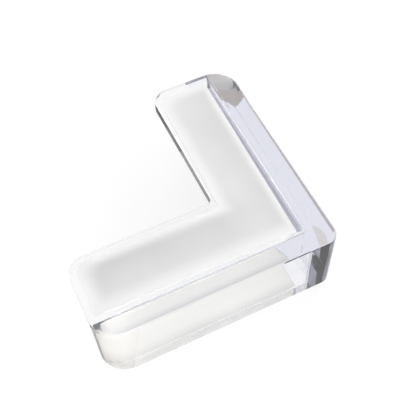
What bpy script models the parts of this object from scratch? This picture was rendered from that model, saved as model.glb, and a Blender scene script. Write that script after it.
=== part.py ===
"""Furniture corner protector: a clear L-shaped moulding for a table corner, with its adhesive pads.

The part stands on the lower edges of its two walls. Its two arms meet at the outer corner, which points to
+X and -Y: arm A runs from there along +Y and arm B along -X. A thin plate lies on the table top, and a thick
wall hangs down along each outer side of the table. The origin is the centre of the bounding box's underside.
Units are metres.
"""

import math

import bmesh
import bpy
from mathutils import Matrix, Vector

MM = 0.001

# Moulding
ARM_LENGTH = 55.0 * MM
ARM_WIDTH = 20.6 * MM
HEIGHT = 18.0 * MM
WALL_THICKNESS = 5.3 * MM
PLATE_THICKNESS = 2.4 * MM

# Rounding of the outline, seen from above
OUTER_CORNER_RADIUS = 3.0 * MM
WALL_END_RADIUS = 6.4 * MM
PLATE_END_RADIUS = 4.0 * MM
INNER_CORNER_RADIUS = 0.8 * MM
LEAST_RADIUS = 0.05 * MM
POCKET_CORNER_RADIUS = 1.0 * MM

# Rounding of the edges, seen from the side
TOP_EDGE_RADIUS = 0.4 * MM
BOTTOM_EDGE_RADIUS = 0.5 * MM
POCKET_LIP_RADIUS = 0.5 * MM
POCKET_ROOT_RADIUS = 0.3 * MM

# The bead along the outer top edge is set off by a groove on the top and a groove on the outer face
BEAD_HEIGHT = 5.2 * MM
SIDE_GROOVE_DEPTH = 0.12 * MM
SIDE_GROOVE_WIDTH = 0.4 * MM
TOP_GROOVE_DEPTH = 0.15 * MM
TOP_GROOVE_WIDTH = 0.4 * MM

# Adhesive pads
PAD_THICKNESS = 0.5 * MM
PAD_GAP = 0.3 * MM
PAD_CORNER_RADIUS = 1.0 * MM
PLATE_PAD_WALL_MARGIN = 1.9 * MM
PLATE_PAD_EDGE_MARGIN = 1.6 * MM
WALL_PAD_BOTTOM_MARGIN = 1.0 * MM
WALL_PAD_CORNER_MARGIN = 5.7 * MM
WALL_PAD_END_MARGIN = 2.0 * MM

# The plate's pad is stuck on by hand, a little clockwise about its outer corner
PLATE_PAD_TURN = math.radians(0.8)

# How finely round stretches are divided
ARC_STEP = math.radians(5)
EDGE_STEPS = 5
SHARP_ANGLE = math.radians(40)

# Lengths by which a cutter reaches past the moulding
OVERCUT = 2.0 * MM

OUTER_X = ARM_LENGTH / 2
OUTER_Y = -ARM_LENGTH / 2
PLATE_UNDERSIDE = HEIGHT - PLATE_THICKNESS


def from_corner(along_a, along_b):
    """The place that lies along_a up arm A (+Y) and along_b up arm B (-X) from the outer corner."""
    return Vector((OUTER_X - along_b, OUTER_Y + along_a))


def rounded(corners):
    """A closed outline through corners, each a point and the radius that rounds it off."""
    points = []
    for index, (corner, radius) in enumerate(corners):
        to_last = (corners[index - 1][0] - corner).normalized()
        to_next = (corners[(index + 1) % len(corners)][0] - corner).normalized()
        if radius <= 0:
            points.append(corner)
            continue
        half = to_last.angle(to_next) / 2
        centre = corner + (to_last + to_next).normalized() * radius / math.sin(half)
        start = corner + to_last * radius / math.tan(half) - centre
        end = corner + to_next * radius / math.tan(half) - centre
        turn = -start.angle_signed(end)
        steps = max(2, round(abs(turn) / ARC_STEP))
        points += [centre + Matrix.Rotation(turn * step / steps, 2) @ start for step in range(steps + 1)]
    return points


def l_outline(near, far, inner, inset, radii):
    """The outline of an L, counterclockwise from the outer corner.

    near, far and inner are distances from the moulding's outer sides: to the outline's own outer sides, to
    the arms' ends and to the arms' inner sides. radii are those of the outer corner, of the outer and inner
    corners of an arm's end, and of the inner corner, before the outline was drawn in by inset.
    """
    corner, end_outer, end_inner = (max(radius - inset, LEAST_RADIUS) for radius in radii[:3])
    return rounded([
        (from_corner(near, near), corner),
        (from_corner(far, near), end_outer),
        (from_corner(far, inner), end_inner),
        (from_corner(inner, inner), radii[3] + inset),
        (from_corner(inner, far), end_inner),
        (from_corner(near, far), end_outer),
    ])


def pocket_outline(inset):
    """The outline of the space for the table, which lies inset past the walls and runs beyond the arms."""
    near = WALL_THICKNESS + inset
    far = ARM_LENGTH + OVERCUT
    return rounded([
        (from_corner(near, near), POCKET_CORNER_RADIUS),
        (from_corner(far, near), 0.0),
        (from_corner(far, far), 0.0),
        (from_corner(near, far), 0.0),
    ])


def loft(name, rings):
    """A closed solid through rings of equally many points, with the first and the last ring filled in."""
    shape = bmesh.new()
    rows = [[shape.verts.new(point) for point in ring] for ring in rings]
    for first, second in zip(rows, rows[1:]):
        for index in range(len(first)):
            after = (index + 1) % len(first)
            shape.faces.new((first[index], first[after], second[after], second[index]))
    shape.faces.new(rows[0])
    shape.faces.new(rows[-1])
    bmesh.ops.recalc_face_normals(shape, faces=shape.faces)
    mesh = bpy.data.meshes.new(name)
    shape.to_mesh(mesh)
    shape.free()
    piece = bpy.data.objects.new(name, mesh)
    bpy.context.scene.collection.objects.link(piece)
    return piece


def stack(name, levels):
    """A solid through level outlines, given as (height, outline) pairs."""
    return loft(name, [[(p.x, p.y, height) for p in outline] for height, outline in levels])


def edge_round(radius):
    """(height, inset) pairs of a quarter round, from its foot on the side face up to the flat face."""
    angles = [math.pi / 2 * step / EDGE_STEPS for step in range(EDGE_STEPS + 1)]
    return [(radius * math.sin(angle), radius * (1 - math.cos(angle))) for angle in angles]


def moulding_levels():
    """(height, inset) pairs up the outer face: bottom round, groove under the bead, top round."""
    bottom = [(BOTTOM_EDGE_RADIUS - rise, inset) for rise, inset in reversed(edge_round(BOTTOM_EDGE_RADIUS))]
    top = [(HEIGHT - TOP_EDGE_RADIUS + rise, inset) for rise, inset in edge_round(TOP_EDGE_RADIUS)]
    groove = HEIGHT - BEAD_HEIGHT
    crease = [
        (groove - SIDE_GROOVE_WIDTH / 2, 0.0),
        (groove, SIDE_GROOVE_DEPTH),
        (groove + SIDE_GROOVE_WIDTH / 2, 0.0),
    ]
    return bottom + crease + top


def pocket_levels():
    """(height, inset) pairs up the inner faces of the walls: flared lip, straight face, small root round."""
    lip = [(POCKET_LIP_RADIUS - rise, -inset) for rise, inset in reversed(edge_round(POCKET_LIP_RADIUS))]
    root = [
        (PLATE_UNDERSIDE - POCKET_ROOT_RADIUS + rise, inset)
        for rise, inset in edge_round(POCKET_ROOT_RADIUS)
    ]
    return [(-OVERCUT, -POCKET_LIP_RADIUS)] + lip + root


def cut(piece, cutter):
    """Takes cutter out of piece. The cutter stays in the file as a hidden guide."""
    cutter.hide_render = True
    cutter.display_type = "WIRE"
    boolean = piece.modifiers.new("Cut " + cutter.name, "BOOLEAN")
    boolean.operation = "DIFFERENCE"
    boolean.solver = "EXACT"
    boolean.object = cutter


def material(name, color, roughness, transmission=0.0, alpha=1.0):
    """A Principled material. Color is linear red, green and blue."""
    made = bpy.data.materials.new(name)
    made.use_nodes = True
    made.diffuse_color = (*color, alpha)
    shader = made.node_tree.nodes["Principled BSDF"]
    shader.inputs["Base Color"].default_value = (*color, 1.0)
    shader.inputs["Roughness"].default_value = roughness
    shader.inputs["Metallic"].default_value = 0.0
    shader.inputs["Transmission Weight"].default_value = transmission
    shader.inputs["Alpha"].default_value = alpha
    return made


def finish(piece, surface):
    """Shades a piece smooth up to its sharp edges and gives it its material."""
    piece.data.materials.append(surface)
    piece.data.shade_smooth()
    piece.data.set_sharp_from_angle(angle=SHARP_ANGLE)


def top_groove_cutter():
    """A V-shaped bar bent to an L, which runs along the inner faces of the walls and past the arms' ends."""
    spread = TOP_GROOVE_WIDTH / 2 * (TOP_GROOVE_DEPTH + OVERCUT) / TOP_GROOVE_DEPTH
    section = [(0.0, HEIGHT - TOP_GROOVE_DEPTH), (spread, HEIGHT + OVERCUT), (-spread, HEIGHT + OVERCUT)]
    far = ARM_LENGTH + OVERCUT
    lines = [(WALL_THICKNESS + aside, height) for aside, height in section]
    return loft("top_groove_cutter", [
        [(*from_corner(far, line), height) for line, height in lines],
        [(*from_corner(line, line), height) for line, height in lines],
        [(*from_corner(line, far), height) for line, height in lines],
    ])


def corner_body(surface):
    """The clear moulding: plate, two walls, and the bead along the outer top edge."""
    radii = (OUTER_CORNER_RADIUS, WALL_END_RADIUS, PLATE_END_RADIUS, INNER_CORNER_RADIUS)
    body = stack("corner_body", [
        (height, l_outline(inset, ARM_LENGTH - inset, ARM_WIDTH - inset, inset, radii))
        for height, inset in moulding_levels()
    ])
    cut(body, stack("table_pocket_cutter", [
        (height, pocket_outline(inset)) for height, inset in pocket_levels()
    ]))
    cut(body, top_groove_cutter())
    finish(body, surface)


def plate_adhesive(surface):
    """The L-shaped pad of double-sided tape under the plate."""
    near = WALL_THICKNESS + PLATE_PAD_WALL_MARGIN
    straight = l_outline(
        near,
        ARM_LENGTH - PLATE_PAD_EDGE_MARGIN,
        ARM_WIDTH - PLATE_PAD_EDGE_MARGIN,
        0.0,
        (PAD_CORNER_RADIUS, PAD_CORNER_RADIUS, PLATE_END_RADIUS - PLATE_PAD_EDGE_MARGIN, INNER_CORNER_RADIUS),
    )
    corner = from_corner(near, near)
    outline = [corner + Matrix.Rotation(-PLATE_PAD_TURN, 2) @ (point - corner) for point in straight]
    top = PLATE_UNDERSIDE - PAD_GAP
    finish(stack("plate_adhesive", [(top - PAD_THICKNESS, outline), (top, outline)]), surface)


def wall_adhesive(name, on_arm_a, surface):
    """A strip of double-sided tape on the inner face of one wall, up to just below the plate's pad."""
    start = WALL_THICKNESS + WALL_PAD_CORNER_MARGIN
    end = ARM_LENGTH - WALL_PAD_END_MARGIN
    top = PLATE_UNDERSIDE - PAD_GAP - PAD_THICKNESS - PAD_GAP
    bottom = WALL_PAD_BOTTOM_MARGIN
    outline = rounded([
        (Vector((along, height)), PAD_CORNER_RADIUS)
        for along, height in ((start, bottom), (end, bottom), (end, top), (start, top))
    ])
    near = WALL_THICKNESS + PAD_GAP
    finish(loft(name, [
        [
            (*(from_corner(point.x, aside) if on_arm_a else from_corner(aside, point.x)), point.y)
            for point in outline
        ]
        for aside in (near, near + PAD_THICKNESS)
    ]), surface)


def main():
    for leftover in list(bpy.data.objects):
        bpy.data.objects.remove(leftover, do_unlink=True)
    clear_pvc = material("clear_pvc", (0.88, 0.88, 0.94), 0.06, transmission=0.9, alpha=0.35)
    corner_body(clear_pvc)
    plate_adhesive(material("plate_tape", (0.86, 0.87, 0.86), 0.45))
    wall_adhesive("wall_adhesive_a", True, material("wall_tape_a", (0.86, 0.87, 0.87), 0.45))
    wall_adhesive("wall_adhesive_b", False, material("wall_tape_b", (0.86, 0.87, 0.87), 0.45))


main()
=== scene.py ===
"""Looks of the clear furniture corner protector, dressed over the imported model."""
import math

import bmesh
import bpy
from mathutils import Matrix, Vector


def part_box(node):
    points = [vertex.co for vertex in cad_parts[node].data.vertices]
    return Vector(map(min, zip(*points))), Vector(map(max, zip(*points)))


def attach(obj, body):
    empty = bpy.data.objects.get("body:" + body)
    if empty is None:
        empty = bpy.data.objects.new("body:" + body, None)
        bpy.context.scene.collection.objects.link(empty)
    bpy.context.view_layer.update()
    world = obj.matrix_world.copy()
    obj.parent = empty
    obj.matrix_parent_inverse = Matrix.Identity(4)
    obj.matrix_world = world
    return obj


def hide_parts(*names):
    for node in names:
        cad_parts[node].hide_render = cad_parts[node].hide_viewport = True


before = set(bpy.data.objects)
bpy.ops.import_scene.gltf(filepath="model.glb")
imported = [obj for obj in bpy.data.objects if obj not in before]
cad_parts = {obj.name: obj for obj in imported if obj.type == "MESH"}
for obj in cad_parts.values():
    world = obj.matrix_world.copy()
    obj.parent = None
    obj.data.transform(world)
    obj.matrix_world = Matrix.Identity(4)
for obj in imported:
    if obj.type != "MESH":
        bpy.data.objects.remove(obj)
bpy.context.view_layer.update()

MM = 0.001

# Sizes read from the frame
BODY_LOW, BODY_HIGH = (Vector(corner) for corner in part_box("corner_body"))
PAD_LOW, PAD_HIGH = (Vector(corner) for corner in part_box("plate_adhesive"))
STRIP_A_LOW, STRIP_A_HIGH = (Vector(corner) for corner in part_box("wall_adhesive_a"))
STRIP_B_LOW, STRIP_B_HIGH = (Vector(corner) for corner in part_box("wall_adhesive_b"))
PAD_GAP = 0.3 * MM
PAD_THICKNESS = PAD_HIGH.z - PAD_LOW.z
HEIGHT = BODY_HIGH.z
ARM_LENGTH = BODY_HIGH.x - BODY_LOW.x
PLATE_UNDERSIDE = PAD_HIGH.z + PAD_GAP
WALL_THICKNESS = BODY_HIGH.x - STRIP_A_HIGH.x - PAD_GAP

# Arms, rounding and bead of the moulding, as in the solid
ARM_WIDTH = 20.6 * MM
OUTER_CORNER_RADIUS = 3.0 * MM
WALL_END_RADIUS = 6.4 * MM
PLATE_END_RADIUS = 4.0 * MM
INNER_CORNER_RADIUS = 0.8 * MM
POCKET_CORNER_RADIUS = 1.0 * MM
LEAST_RADIUS = 0.05 * MM
TOP_EDGE_RADIUS = 0.4 * MM
POCKET_ROOT_RADIUS = 0.3 * MM
BEAD_HEIGHT = 5.2 * MM

# Edges and grooves of the moulding, finer than in the solid, so that light bends through it as in the
# photograph
BOTTOM_EDGE_RADIUS = 0.08 * MM
POCKET_LIP_RADIUS = 0.15 * MM
SIDE_GROOVE_DEPTH = 0.05 * MM
SIDE_GROOVE_WIDTH = 0.4 * MM
TOP_GROOVE_DEPTH = 0.03 * MM
TOP_GROOVE_WIDTH = 0.3 * MM

# The plate's pad: its corners, how far it stays from walls and edges, and its turn
PAD_CORNER_RADIUS = 1.0 * MM
PAD_MARGIN_A = 1.9 * MM
PAD_MARGIN_B = 1.1 * MM
PAD_OUTER_RADIUS = 0.3 * MM
PLATE_PAD_EDGE_MARGIN = 1.6 * MM
PAD_FREE_MARGIN_A = 1.0 * MM
PLATE_PAD_TURN = math.radians(0.8)

# How finely round stretches are divided, the angle that stays sharp, and how far cutters reach past the part
ARC_STEP = math.radians(3)
EDGE_STEPS = 10
SHARP_ANGLE = math.radians(30)
OVERCUT = 2.0 * MM

# The wall strips touch the moulding, but strip A has come loose for some way from the corner. Each is cut at
# a slant by the corner: a positive slant carries its top away from the corner, and its bottom towards it.
STRIP_SINK = 0.02 * MM
STRIP_STEPS = 6
STRIP_BOTTOM = 0.3 * MM
STRIP_EDGE = 0.2 * MM
STRIP_A_LOOSE = 39.0 * MM
STRIP_B_LOOSE = 0.0
LOOSE_STEP = 0.5 * MM
STRIP_A_SLANT = -4.0 * MM
STRIP_B_SLANT = 2.0 * MM
SLANT_REACH = 8.0 * MM

# A film of air is left over the plate's pad and between the moulding and the loose tape
PAD_FILM = 0.05 * MM

# A film of air is left under the walls, so that slanting light turns back at their feet
FLOOR_FILM = 0.1 * MM

# The pad turns from white at its border, painted light, to its greyer colour, over a width of its own on
# each side
FADE_A_WALL = 2.2 * MM
FADE_A_FREE = 3.6 * MM
FADE_A_END = 3.0 * MM
FADE_B_WALL = 4.4 * MM
FADE_B_FREE = 2.8 * MM
FADE_B_END = 4.5 * MM
FADE_STEPS = 8

# Clear plastic
PVC_IOR = 1.53
PVC_TINT = (0.27, 0.30, 0.60, 1.0)
PVC_DENSITY = 13.0
PVC_ROUGHNESS = 0.004
PVC_ROUGHNESS_SCALE = 90.0
PVC_ROUGHNESS_DETAIL = 3.0
PVC_BUMP = 0.0015
PVC_BUMP_DEPTH = 0.05 * MM
PVC_BUMP_SCALE = 160.0
PVC_BUMP_DETAIL = 1.0

WHITE = (1.0, 1.0, 1.0, 1.0)

# Milky tape, each colour mottled between two; the pad's greyer colours are painted shade under the plate
TAPE_ROUGHNESS = 0.55
MOTTLE_SCALE = 120.0
MOTTLE_DETAIL = 3.0
MOTTLE_START = 0.35
MOTTLE_END = 0.65
PAD_SHADED_DARK = (0.715, 0.715, 0.705, 1.0)
PAD_SHADED_LIGHT = (0.745, 0.745, 0.735, 1.0)
STRIP_DARK = (0.985, 0.975, 0.90, 1.0)
STRIP_LIGHT = (0.995, 0.985, 0.91, 1.0)
# Painted shade of the pocket on the strips' sides away from the walls, violet-grey on strip A
STRIP_A_BACK_SHADE = (0.50, 0.50, 0.60, 1.0)
STRIP_B_BACK_SHADE = (0.80, 0.80, 0.80, 1.0)
# Painted light: the white that the pad turns to at its border
PAD_BORDER_LIGHT = (0.82, 0.82, 0.80, 1.0)

# The wall strips' tone at places up the moulding, as (share of its height, tone): they turn grey low down as
# painted shade
STRIP_SHADE_TONES = ((0.02, 0.70), (0.14, 0.84), (0.30, 0.98), (0.50, 1.0))

# The pad's painted shade: it is darker towards the free edge on arm B and towards the wall on arm A
PAD_SHADE_MIDDLE = 14.0 * MM
PAD_SHADE_REACH = 7.0 * MM
PAD_SHADE_BLEND = 8.0 * MM
PAD_SHADE_A = (0.98, 0.85)
PAD_SHADE_B = (0.92, 0.76)

# The floor: its share of even glow for the camera and for light that has met the plastic, and its colours
FLOOR_SIZE = 3.0
FLOOR_COLOUR = (0.92, 0.92, 0.93, 1.0)
FLOOR_ROUGHNESS = 0.9
FLOOR_GLOW = 0.75
FLOOR_GLOW_THROUGH = 0.85
THROUGH_WHITE = (0.97, 0.97, 0.97, 1.0)
# Painted violet shadow of the walls on the floor under them, seen through the plastic
UNDER_WALLS_SHADOW = (0.89, 0.895, 0.93, 1.0)
# Painted dark reflection, for light that has turned back twice
TWICE_DARK_REFLECTION = (0.20, 0.21, 0.21, 1.0)

# Light has turned back once or twice when it has done so more often than this
ONCE = 0.5
TWICE = 1.5

# Light turned back once finds a painted dark brown reflection past a slanting line under each arm's end, and
# along arm A's inner face
END_DARK_REFLECTION = (0.52, 0.47, 0.44, 1.0)
END_START = 22.1 * MM
END_SLOPE = 0.6
END_INNER = 23.8 * MM
END_INNER_START = 21.5 * MM

# Grey painted shade on a leaf under the corner: in a circle for light turned back once, and past a line for
# straight light
LEAF_SHADE_GREY = (0.75, 0.71, 0.66, 1.0)
LEAF_CENTRE = (30.4 * MM, -20.0 * MM, -FLOOR_FILM)
LEAF_RADIUS = 4.45 * MM
LEAF_SLOPE = 0.2
LEAF_START = 30.9 * MM

# Studio light: a white dome, a little darker at and below the horizon, and two soft boxes
HORIZON = 0.95
HORIZON_END = 0.0
SKY_START = 0.15
SKY_LEVEL = 1.0
BACK_LAMP_PLACE = (0.35, 0.32, 0.3)
BACK_LAMP_SIZE = 0.3
BACK_LAMP_POWER = 0.8
FRONT_LAMP_PLACE = (-0.12, -0.55, 0.16)
FRONT_LAMP_SIZE = 0.3
FRONT_LAMP_POWER = 2.1

# Camera, fitted to the edges of the object in the photograph
CAMERA_PLACE = Vector((-30.16, -89.58, 154.14)) * MM
CAMERA_TARGET = Vector((5.46, -8.15, 18.0)) * MM
CAMERA_ROLL = math.radians(-2.418)
LENS_MM = 64.8
SENSOR_MM = 36.0
NEAR_CLIP = 1.0 * MM


def from_corner(along_a, along_b):
    """The place that lies along_a up arm A (+Y) and along_b up arm B (-X) from the outer corner."""
    return Vector((BODY_HIGH.x - along_b, BODY_LOW.y + along_a))


def rounded(corners):
    """A closed outline through corners, each a point and the radius that rounds it off."""
    points = []
    for index, (corner, radius) in enumerate(corners):
        to_last = (corners[index - 1][0] - corner).normalized()
        to_next = (corners[(index + 1) % len(corners)][0] - corner).normalized()
        if radius <= 0:
            points.append(corner)
            continue
        half = to_last.angle(to_next) / 2
        centre = corner + (to_last + to_next).normalized() * radius / math.sin(half)
        start = corner + to_last * radius / math.tan(half) - centre
        end = corner + to_next * radius / math.tan(half) - centre
        turn = -start.angle_signed(end)
        steps = max(2, round(abs(turn) / ARC_STEP))
        points += [centre + Matrix.Rotation(turn * step / steps, 2) @ start for step in range(steps + 1)]
    return points


def l_outline(near, far, inner, inset, radii):
    """The outline of an L, counterclockwise from the outer corner, as in the solid."""
    corner, end_outer, end_inner = (max(radius - inset, LEAST_RADIUS) for radius in radii[:3])
    return rounded([
        (from_corner(near, near), corner),
        (from_corner(far, near), end_outer),
        (from_corner(far, inner), end_inner),
        (from_corner(inner, inner), radii[3] + inset),
        (from_corner(inner, far), end_inner),
        (from_corner(near, far), end_outer),
    ])


def pocket_outline(inset):
    """The outline of the space for the table, which reaches far past the arms."""
    near = WALL_THICKNESS + inset
    far = ARM_LENGTH + OVERCUT
    return rounded([
        (from_corner(near, near), POCKET_CORNER_RADIUS),
        (from_corner(far, near), 0.0),
        (from_corner(far, far), 0.0),
        (from_corner(near, far), 0.0),
    ])


def loft(name, rings):
    """A closed solid through rings of equally many points, with the first and the last ring filled in."""
    shape = bmesh.new()
    rows = [[shape.verts.new(point) for point in ring] for ring in rings]
    for first, second in zip(rows, rows[1:]):
        for index in range(len(first)):
            after = (index + 1) % len(first)
            shape.faces.new((first[index], first[after], second[after], second[index]))
    shape.faces.new(rows[0])
    shape.faces.new(rows[-1])
    bmesh.ops.recalc_face_normals(shape, faces=shape.faces)
    mesh = bpy.data.meshes.new(name)
    shape.to_mesh(mesh)
    shape.free()
    piece = bpy.data.objects.new(name, mesh)
    bpy.context.scene.collection.objects.link(piece)
    return piece


def stack(name, levels):
    """A solid through level outlines, given as (height, outline) pairs."""
    return loft(name, [[(p.x, p.y, height) for p in outline] for height, outline in levels])


def edge_round(radius):
    """(height, inset) pairs of a quarter round, from its foot on the side face up to the flat face."""
    angles = [math.pi / 2 * step / EDGE_STEPS for step in range(EDGE_STEPS + 1)]
    return [(radius * math.sin(angle), radius * (1 - math.cos(angle))) for angle in angles]


def moulding_levels():
    """(height, inset) pairs up the outer face: bottom round, groove under the bead, top round."""
    bottom = [(BOTTOM_EDGE_RADIUS - rise, inset) for rise, inset in reversed(edge_round(BOTTOM_EDGE_RADIUS))]
    top = [(HEIGHT - TOP_EDGE_RADIUS + rise, inset) for rise, inset in edge_round(TOP_EDGE_RADIUS)]
    groove = HEIGHT - BEAD_HEIGHT
    crease = [
        (groove - SIDE_GROOVE_WIDTH / 2, 0.0),
        (groove, SIDE_GROOVE_DEPTH),
        (groove + SIDE_GROOVE_WIDTH / 2, 0.0),
    ]
    return bottom + crease + top


def pocket_levels():
    """(height, inset) pairs up the inner faces of the walls: flared lip, straight face, small root round."""
    lip = [(POCKET_LIP_RADIUS - rise, -inset) for rise, inset in reversed(edge_round(POCKET_LIP_RADIUS))]
    root = [
        (PLATE_UNDERSIDE - POCKET_ROOT_RADIUS + rise, inset)
        for rise, inset in edge_round(POCKET_ROOT_RADIUS)
    ]
    return [(-OVERCUT, -POCKET_LIP_RADIUS)] + lip + root


def top_groove_cutter():
    """A V-shaped bar bent to an L, which runs along the inner faces of the walls and past the arms' ends."""
    spread = TOP_GROOVE_WIDTH / 2 * (TOP_GROOVE_DEPTH + OVERCUT) / TOP_GROOVE_DEPTH
    section = [(0.0, HEIGHT - TOP_GROOVE_DEPTH), (spread, HEIGHT + OVERCUT), (-spread, HEIGHT + OVERCUT)]
    far = ARM_LENGTH + OVERCUT
    lines = [(WALL_THICKNESS + aside, height) for aside, height in section]
    return loft("top_groove_cutter", [
        [(*from_corner(far, line), height) for line, height in lines],
        [(*from_corner(line, line), height) for line, height in lines],
        [(*from_corner(line, far), height) for line, height in lines],
    ])


def settle(piece):
    """Applies a piece's modifiers to its mesh."""
    graph = bpy.context.evaluated_depsgraph_get()
    mesh = bpy.data.meshes.new_from_object(piece.evaluated_get(graph))
    piece.modifiers.clear()
    piece.data = mesh


def clear_body(surface):
    """The clear moulding in fine steps, so that light bends through it without facets."""
    radii = (OUTER_CORNER_RADIUS, WALL_END_RADIUS, PLATE_END_RADIUS, INNER_CORNER_RADIUS)
    body = stack("clear_moulding", [
        (height, l_outline(inset, ARM_LENGTH - inset, ARM_WIDTH - inset, inset, radii))
        for height, inset in moulding_levels()
    ])
    cutters = [
        stack("pocket_cutter", [(height, pocket_outline(inset)) for height, inset in pocket_levels()]),
        top_groove_cutter(),
    ]
    for cutter in cutters:
        boolean = body.modifiers.new("Cut", "BOOLEAN")
        boolean.operation = "DIFFERENCE"
        boolean.solver = "EXACT"
        boolean.object = cutter
    settle(body)
    for cutter in cutters:
        bpy.data.objects.remove(cutter)
    body.data.shade_smooth()
    body.data.set_sharp_from_angle(angle=SHARP_ANGLE)
    weighted = body.modifiers.new("Flat faces stay flat", "WEIGHTED_NORMAL")
    weighted.mode = "FACE_AREA"
    weighted.keep_sharp = True
    dress(body, surface, "corner_body")


def pad_outline(share):
    """The outline of the plate's pad, turned as the pad is and drawn in by a share of each side's fade."""
    near_a = WALL_THICKNESS + PAD_MARGIN_A + share * FADE_A_WALL
    near_b = WALL_THICKNESS + PAD_MARGIN_B + share * FADE_B_WALL
    far = ARM_LENGTH - PLATE_PAD_EDGE_MARGIN
    inner_a = ARM_WIDTH - PAD_FREE_MARGIN_A - share * FADE_A_FREE
    inner_b = ARM_WIDTH - PLATE_PAD_EDGE_MARGIN - share * FADE_B_FREE
    far_a, far_b = far - share * FADE_A_END, far - share * FADE_B_END
    straight = rounded([
        (from_corner(near_b, near_a), PAD_OUTER_RADIUS),
        (from_corner(far_a, near_a), PAD_CORNER_RADIUS),
        (from_corner(far_a, inner_a), PLATE_END_RADIUS - PLATE_PAD_EDGE_MARGIN),
        (from_corner(inner_b, inner_a), INNER_CORNER_RADIUS),
        (from_corner(inner_b, far_b), PLATE_END_RADIUS - PLATE_PAD_EDGE_MARGIN),
        (from_corner(near_b, far_b), PAD_CORNER_RADIUS),
    ])
    corner = from_corner(WALL_THICKNESS + PAD_MARGIN_A, WALL_THICKNESS + PAD_MARGIN_A)
    return [corner + Matrix.Rotation(-PLATE_PAD_TURN, 2) @ (point - corner) for point in straight]


def plate_pad(surface):
    """The L-shaped pad of tape under the plate, which carries how far it has turned from its painted-light
    white border.
    """
    top = PLATE_UNDERSIDE - PAD_FILM
    shares = [step / FADE_STEPS for step in range(FADE_STEPS + 1)]
    levels = [(top - PAD_THICKNESS, pad_outline(0.0))] + [(top, pad_outline(share)) for share in shares]
    pad = stack("plate_tape", levels)
    per_ring = len(levels[0][1])
    fade = pad.data.attributes.new("fade", "FLOAT", "POINT")
    for ring, share in enumerate([0.0] + shares):
        for index in range(ring * per_ring, (ring + 1) * per_ring):
            fade.data[index].value = share
    dress(pad, surface, "plate_adhesive")


def wall_strip(name, on_arm_a, low, high, loose, slant, node, surface):
    """A strip of tape on the inner face of a wall, loose up to a place and slanted at its start.

    Its rings run along the arm. The attribute "back" is 1 on the side away from the wall and 0 on the other.
    """
    start = low.y - BODY_LOW.y if on_arm_a else BODY_HIGH.x - high.x
    end = high.y - BODY_LOW.y if on_arm_a else BODY_HIGH.x - low.x
    thickness = high.x - low.x if on_arm_a else high.y - low.y
    angles = [math.pi / 2 * step / STRIP_STEPS for step in range(STRIP_STEPS + 1)]
    corner = [(PAD_CORNER_RADIUS * (1 - math.cos(a)), PAD_CORNER_RADIUS * (1 - math.sin(a))) for a in angles]
    stations = [(start + offset, inset) for offset, inset in corner]
    stations += [(start + SLANT_REACH, 0.0)]
    stations += [(loose - LOOSE_STEP, 0.0), (loose, 0.0)] if loose > start + SLANT_REACH else []
    stations += [(end - offset, inset) for offset, inset in reversed(corner)]
    rings = []
    for along, inset in stations:
        near = WALL_THICKNESS + (PAD_FILM if along < loose else -STRIP_SINK)
        lean = slant * max(0.0, 1 - (along - start) / SLANT_REACH)
        bottom, top = (along - lean, STRIP_BOTTOM + inset), (along + lean, high.z - inset)
        below_top = (top[0], top[1] - STRIP_EDGE)
        far_side = near + thickness
        ring = [(bottom, near), (bottom, far_side), (top, far_side), (top, near), (below_top, near)]
        rings.append([
            (*(from_corner(place, aside) if on_arm_a else from_corner(aside, place)), height)
            for (place, height), aside in ring
        ])
    strip = loft(name, rings)
    back = strip.data.attributes.new("back", "FLOAT", "POINT")
    for index in range(len(back.data)):
        back.data[index].value = 1.0 if index % len(ring) in (1, 2, 3) else 0.0
    dress(strip, surface, node)


def dress(piece, surface, node):
    """Gives a piece its material, hangs it on the root body, and hides the CAD part that it stands for."""
    piece.data.materials.clear()
    piece.data.materials.append(surface)
    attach(piece, "root")
    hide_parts(node)


def new_material(name):
    """A material with its shader and a way to add nodes."""
    made = bpy.data.materials.new(name)
    made.use_nodes = True
    return made, made.node_tree, made.node_tree.nodes["Principled BSDF"]


def noise(tree, scale, detail):
    """A noise texture in object space, scale in turns per metre."""
    place = tree.nodes.new("ShaderNodeTexCoord")
    texture = tree.nodes.new("ShaderNodeTexNoise")
    texture.inputs["Scale"].default_value = scale
    texture.inputs["Detail"].default_value = detail
    tree.links.new(place.outputs["Object"], texture.inputs["Vector"])
    return texture.outputs["Fac"]


def math_node(tree, operation, first, second):
    """A Math node on a socket and a socket or a number."""
    node = tree.nodes.new("ShaderNodeMath")
    node.operation = operation
    tree.links.new(first, node.inputs[0])
    if isinstance(second, float):
        node.inputs[1].default_value = second
    else:
        tree.links.new(second, node.inputs[1])
    return node.outputs["Value"]


def axes(tree, kind, name):
    """The X, Y and Z sockets of a place, which the named output of a node of this kind gives."""
    split = tree.nodes.new("ShaderNodeSeparateXYZ")
    tree.links.new(tree.nodes.new(kind).outputs[name], split.inputs["Vector"])
    return split.outputs


def map_range(tree, value, low, high):
    """The value between 0 and 1 carried to low and high."""
    node = tree.nodes.new("ShaderNodeMapRange")
    node.inputs["To Min"].default_value = low
    node.inputs["To Max"].default_value = high
    tree.links.new(value, node.inputs["Value"])
    return node.outputs["Result"]


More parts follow.
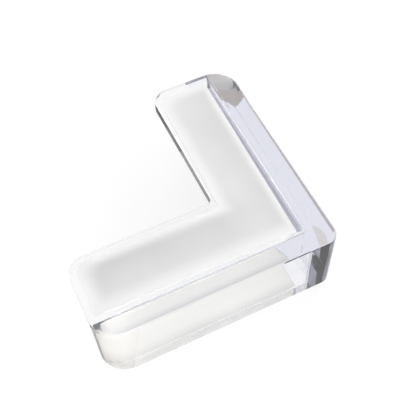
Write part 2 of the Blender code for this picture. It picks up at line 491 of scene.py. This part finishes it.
def clear_plastic():
    """Clear soft PVC with a faint violet tone in its depth."""
    surface, tree, shader = new_material("clear_pvc")
    shader.inputs["Base Color"].default_value = WHITE
    shader.inputs["IOR"].default_value = PVC_IOR
    shader.inputs["Transmission Weight"].default_value = 1.0
    rough = noise(tree, PVC_ROUGHNESS_SCALE, PVC_ROUGHNESS_DETAIL)
    tree.links.new(map_range(tree, rough, 0.0, PVC_ROUGHNESS), shader.inputs["Roughness"])
    bump = tree.nodes.new("ShaderNodeBump")
    bump.inputs["Strength"].default_value = PVC_BUMP
    bump.inputs["Distance"].default_value = PVC_BUMP_DEPTH
    tree.links.new(noise(tree, PVC_BUMP_SCALE, PVC_BUMP_DETAIL), bump.inputs["Height"])
    tree.links.new(bump.outputs["Normal"], shader.inputs["Normal"])
    volume = tree.nodes.new("ShaderNodeVolumeAbsorption")
    volume.inputs["Color"].default_value = PVC_TINT
    volume.inputs["Density"].default_value = PVC_DENSITY
    tree.links.new(volume.outputs["Volume"], tree.nodes["Material Output"].inputs["Volume"])
    return surface


def set_stops(ramp, *stops):
    """Gives a colour ramp its stops, as (position, colour) pairs."""
    while len(ramp.elements) < len(stops):
        ramp.elements.new(1.0)
    for element, (position, colour) in zip(ramp.elements, stops):
        element.position = position
        element.color = colour


def mottle(tree, dark, light):
    """The faintly mottled colour of tape."""
    mottled = tree.nodes.new("ShaderNodeValToRGB")
    set_stops(mottled.color_ramp, (MOTTLE_START, dark), (MOTTLE_END, light))
    tree.links.new(noise(tree, MOTTLE_SCALE, MOTTLE_DETAIL), mottled.inputs["Fac"])
    return mottled.outputs["Color"]


def strip_shade_tone(tree):
    """How light a wall strip is at a height: it greys low down as painted shade."""
    height = axes(tree, "ShaderNodeTexCoord", "Object")["Z"]
    tone = tree.nodes.new("ShaderNodeValToRGB")
    tone.color_ramp.interpolation = "B_SPLINE"
    set_stops(tone.color_ramp, *((share, (level, level, level, 1.0)) for share, level in STRIP_SHADE_TONES))
    tree.links.new(math_node(tree, "DIVIDE", height, HEIGHT), tone.inputs["Fac"])
    return tone.outputs["Color"]


def strip_tape(name, back_shade):
    """Milky tape of a wall strip, greying low down as painted shade, with a darker colour on the side away
    from the wall as painted shade of the pocket.
    """
    surface, tree, shader = new_material(name)
    back = tree.nodes.new("ShaderNodeAttribute")
    back.attribute_name = "back"
    mix = tree.nodes.new("ShaderNodeMixRGB")
    tree.links.new(back.outputs["Fac"], mix.inputs["Fac"])
    front = tree.nodes.new("ShaderNodeVectorMath")
    front.operation = "MULTIPLY"
    tree.links.new(mottle(tree, STRIP_DARK, STRIP_LIGHT), front.inputs[0])
    tree.links.new(strip_shade_tone(tree), front.inputs[1])
    tree.links.new(front.outputs["Vector"], mix.inputs["Color1"])
    mix.inputs["Color2"].default_value = back_shade
    tree.links.new(mix.outputs["Color"], shader.inputs["Base Color"])
    shader.inputs["Roughness"].default_value = TAPE_ROUGHNESS
    return surface


def soft_range(tree, value, start, end, low, high):
    """The value carried smoothly from start..end to low..high."""
    node = tree.nodes.new("ShaderNodeMapRange")
    node.interpolation_type = "SMOOTHSTEP"
    for name, number in (("From Min", start), ("From Max", end), ("To Min", low), ("To Max", high)):
        node.inputs[name].default_value = number
    tree.links.new(value, node.inputs["Value"])
    return node.outputs["Result"]


def pad_shade(tree):
    """How light the pad is: painted shade darkens it towards +X on arm A and towards +Y on arm B."""
    place = axes(tree, "ShaderNodeTexCoord", "Object")
    along = math_node(tree, "ADD", place["X"], place["Y"])
    on_arm_a = soft_range(tree, along, -PAD_SHADE_BLEND, PAD_SHADE_BLEND, 0.0, 1.0)
    shade_on_a = soft_range(tree, place["X"], PAD_SHADE_MIDDLE - PAD_SHADE_REACH, PAD_SHADE_MIDDLE + PAD_SHADE_REACH, *PAD_SHADE_A)
    shade_on_b = soft_range(tree, place["Y"], -PAD_SHADE_MIDDLE - PAD_SHADE_REACH, -PAD_SHADE_MIDDLE + PAD_SHADE_REACH, *PAD_SHADE_B)
    tone = tree.nodes.new("ShaderNodeMix")
    tree.links.new(on_arm_a, tone.inputs["Factor"])
    tree.links.new(shade_on_b, tone.inputs["A"])
    tree.links.new(shade_on_a, tone.inputs["B"])
    return tone.outputs["Result"]


def pad_tape():
    """Milky tape of the plate's pad, greyer than the strips as painted shade, and whiter along its border as
    painted light.
    """
    surface, tree, shader = new_material("pad_tape")
    shaded = tree.nodes.new("ShaderNodeVectorMath")
    shaded.operation = "SCALE"
    tree.links.new(mottle(tree, PAD_SHADED_DARK, PAD_SHADED_LIGHT), shaded.inputs["Vector"])
    tree.links.new(pad_shade(tree), shaded.inputs["Scale"])
    fade = tree.nodes.new("ShaderNodeAttribute")
    fade.attribute_name = "fade"
    mix = tree.nodes.new("ShaderNodeMixRGB")
    mix.inputs["Color1"].default_value = PAD_BORDER_LIGHT
    tree.links.new(soft_range(tree, fade.outputs["Fac"], 0.0, 1.0, 0.0, 1.0), mix.inputs["Fac"])
    tree.links.new(shaded.outputs["Vector"], mix.inputs["Color2"])
    tree.links.new(mix.outputs["Color"], shader.inputs["Base Color"])
    shader.inputs["Roughness"].default_value = TAPE_ROUGHNESS
    return surface


def mix_with_glow(tree, share, shader, colour):
    """The shader mixed with a share of an even glow."""
    glow = tree.nodes.new("ShaderNodeEmission")
    glow.inputs["Color"].default_value = colour
    mix = tree.nodes.new("ShaderNodeMixShader")
    tree.links.new(share, mix.inputs["Fac"])
    tree.links.new(shader, mix.inputs[1])
    tree.links.new(glow.outputs["Emission"], mix.inputs[2])
    return mix.outputs["Shader"]


def both(tree, first, second):
    """1 where both sockets are 1."""
    return math_node(tree, "MULTIPLY", first, second)


def either(tree, first, second):
    """1 where one of two sockets is 1."""
    return math_node(tree, "MAXIMUM", first, second)


def above(tree, value, limit):
    """1 where the value is above the limit."""
    return math_node(tree, "GREATER_THAN", value, limit)


def below(tree, value, limit):
    """1 where the value is below the limit."""
    return math_node(tree, "LESS_THAN", value, limit)


def leaning(tree, across, along, slope):
    """The sum of one socket and a share of another, which is even along a slanting line."""
    return math_node(tree, "ADD", across, math_node(tree, "MULTIPLY", along, slope))


def floor_zones(tree):
    """Two sockets: 1 on the floor under the walls, where their shadow is painted, and 1 on the floor that
    shows the painted brown reflection.
    """
    place = axes(tree, "ShaderNodeNewGeometry", "Position")
    x, y = place["X"], place["Y"]
    end_line = END_START + END_SLOPE * ARM_LENGTH / 2
    wall_face = ARM_LENGTH / 2 - WALL_THICKNESS
    under_wall_a = above(tree, x, wall_face)
    end_a = above(tree, leaning(tree, y, x, END_SLOPE), end_line)
    end_b = below(tree, leaning(tree, x, y, END_SLOPE), -end_line)
    beside_a = either(
        tree,
        above(tree, y, END_INNER_START),
        both(tree, under_wall_a, above(tree, y, -wall_face)),
    )
    inner_a = both(tree, beside_a, below(tree, x, END_INNER))
    brown = either(tree, either(tree, end_a, inner_a), end_b)
    under_wall_b = both(tree, below(tree, y, -wall_face), above(tree, x, STRIP_B_HIGH.x))
    return either(tree, under_wall_a, under_wall_b), brown


def corner_shade_leaf(tree, turned_back):
    """A socket: 1 on the leaf of floor seen through the corner, straight down or turned back once, where
    grey painted shade goes.
    """
    place = axes(tree, "ShaderNodeNewGeometry", "Position")
    away = tree.nodes.new("ShaderNodeVectorMath")
    away.operation = "DISTANCE"
    tree.links.new(tree.nodes.new("ShaderNodeNewGeometry").outputs["Position"], away.inputs[0])
    away.inputs[1].default_value = LEAF_CENTRE
    in_circle = below(tree, away.outputs["Value"], LEAF_RADIUS)
    past_line = above(tree, leaning(tree, place["X"], place["Y"], -LEAF_SLOPE), LEAF_START)
    under_part = below(tree, place["X"], ARM_LENGTH / 2)
    straight = math_node(tree, "SUBTRACT", both(tree, past_line, under_part), turned_back)
    return either(tree, both(tree, in_circle, turned_back), straight)


def pale_floor():
    """The floor, which glows evenly, and for light that has met the plastic shows painted shadow, shade and
    dark reflections.
    """
    surface, tree, shader = new_material("pale_floor")
    shader.inputs["Base Color"].default_value = FLOOR_COLOUR
    shader.inputs["Roughness"].default_value = FLOOR_ROUGHNESS
    shader.inputs["Specular IOR Level"].default_value = 0.0
    path = tree.nodes.new("ShaderNodeLightPath").outputs
    direct = math_node(tree, "MULTIPLY", path["Is Camera Ray"], FLOOR_GLOW)
    bent = either(tree, path["Is Glossy Ray"], path["Is Transmission Ray"])
    through = math_node(tree, "MULTIPLY", bent, FLOOR_GLOW_THROUGH)
    turned_back = above(tree, path["Glossy Depth"], ONCE)
    turned_twice = above(tree, path["Glossy Depth"], TWICE)
    walls_shadow_zone, brown = floor_zones(tree)
    seen = shader.outputs["BSDF"]
    for share, colour in (
        (direct, WHITE),
        (through, THROUGH_WHITE),
        (both(tree, through, walls_shadow_zone), UNDER_WALLS_SHADOW),
        (both(tree, through, corner_shade_leaf(tree, turned_back)), LEAF_SHADE_GREY),
        (both(tree, turned_back, brown), END_DARK_REFLECTION),
        (turned_twice, TWICE_DARK_REFLECTION),
    ):
        seen = mix_with_glow(tree, share, seen, colour)
    tree.links.new(seen, tree.nodes["Material Output"].inputs["Surface"])
    return surface


def studio():
    """The floor, a soft dome and two soft boxes."""
    bpy.ops.mesh.primitive_plane_add(size=FLOOR_SIZE, location=(0.0, 0.0, -FLOOR_FILM))
    floor = bpy.context.object
    floor.name = "floor"
    floor.data.materials.append(pale_floor())

    world = bpy.data.worlds.new("studio")
    world.use_nodes = True
    bpy.context.scene.world = world
    tree = world.node_tree
    ramp = tree.nodes.new("ShaderNodeValToRGB")
    set_stops(ramp.color_ramp, (HORIZON_END, (HORIZON, HORIZON, HORIZON, 1.0)), (SKY_START, WHITE))
    tree.links.new(axes(tree, "ShaderNodeTexCoord", "Generated")["Z"], ramp.inputs["Fac"])
    tree.links.new(ramp.outputs["Color"], tree.nodes["Background"].inputs["Color"])
    tree.nodes["Background"].inputs["Strength"].default_value = SKY_LEVEL

    softbox("softbox_behind", BACK_LAMP_PLACE, BACK_LAMP_SIZE, BACK_LAMP_POWER)
    softbox("softbox_in_front", FRONT_LAMP_PLACE, FRONT_LAMP_SIZE, FRONT_LAMP_POWER)


def softbox(name, place, size, power):
    """A square soft light aimed at the object."""
    light = bpy.data.lights.new(name, "AREA")
    light.size = size
    light.energy = power
    lamp = bpy.data.objects.new(name, light)
    lamp.location = place
    lamp.rotation_euler = (-lamp.location).to_track_quat("-Z", "Y").to_euler()
    bpy.context.scene.collection.objects.link(lamp)


def camera():
    """The camera at the photograph's place and angle."""
    lens = bpy.data.cameras.new("camera")
    lens.sensor_width = SENSOR_MM
    lens.lens = LENS_MM
    lens.clip_start = NEAR_CLIP
    eye = bpy.data.objects.new("camera", lens)
    look = (CAMERA_TARGET - CAMERA_PLACE).to_track_quat("-Z", "Y").to_matrix()
    turned = look @ Matrix.Rotation(CAMERA_ROLL, 3, "Z")
    eye.matrix_world = Matrix.Translation(CAMERA_PLACE) @ turned.to_4x4()
    bpy.context.scene.collection.objects.link(eye)
    bpy.context.scene.camera = eye


def main():
    bpy.context.scene.view_settings.view_transform = "Standard"
    # Softened glossy paths would darken the tape behind the clear plastic
    bpy.context.scene.cycles.blur_glossy = 0.0
    tape_a = strip_tape("strip_tape_a", STRIP_A_BACK_SHADE)
    tape_b = strip_tape("strip_tape_b", STRIP_B_BACK_SHADE)
    clear_body(clear_plastic())
    plate_pad(pad_tape())
    box_a, box_b = (STRIP_A_LOW, STRIP_A_HIGH), (STRIP_B_LOW, STRIP_B_HIGH)
    wall_strip("wall_tape_a", True, *box_a, STRIP_A_LOOSE, STRIP_A_SLANT, "wall_adhesive_a", tape_a)
    wall_strip("wall_tape_b", False, *box_b, STRIP_B_LOOSE, STRIP_B_SLANT, "wall_adhesive_b", tape_b)
    studio()
    camera()


main()
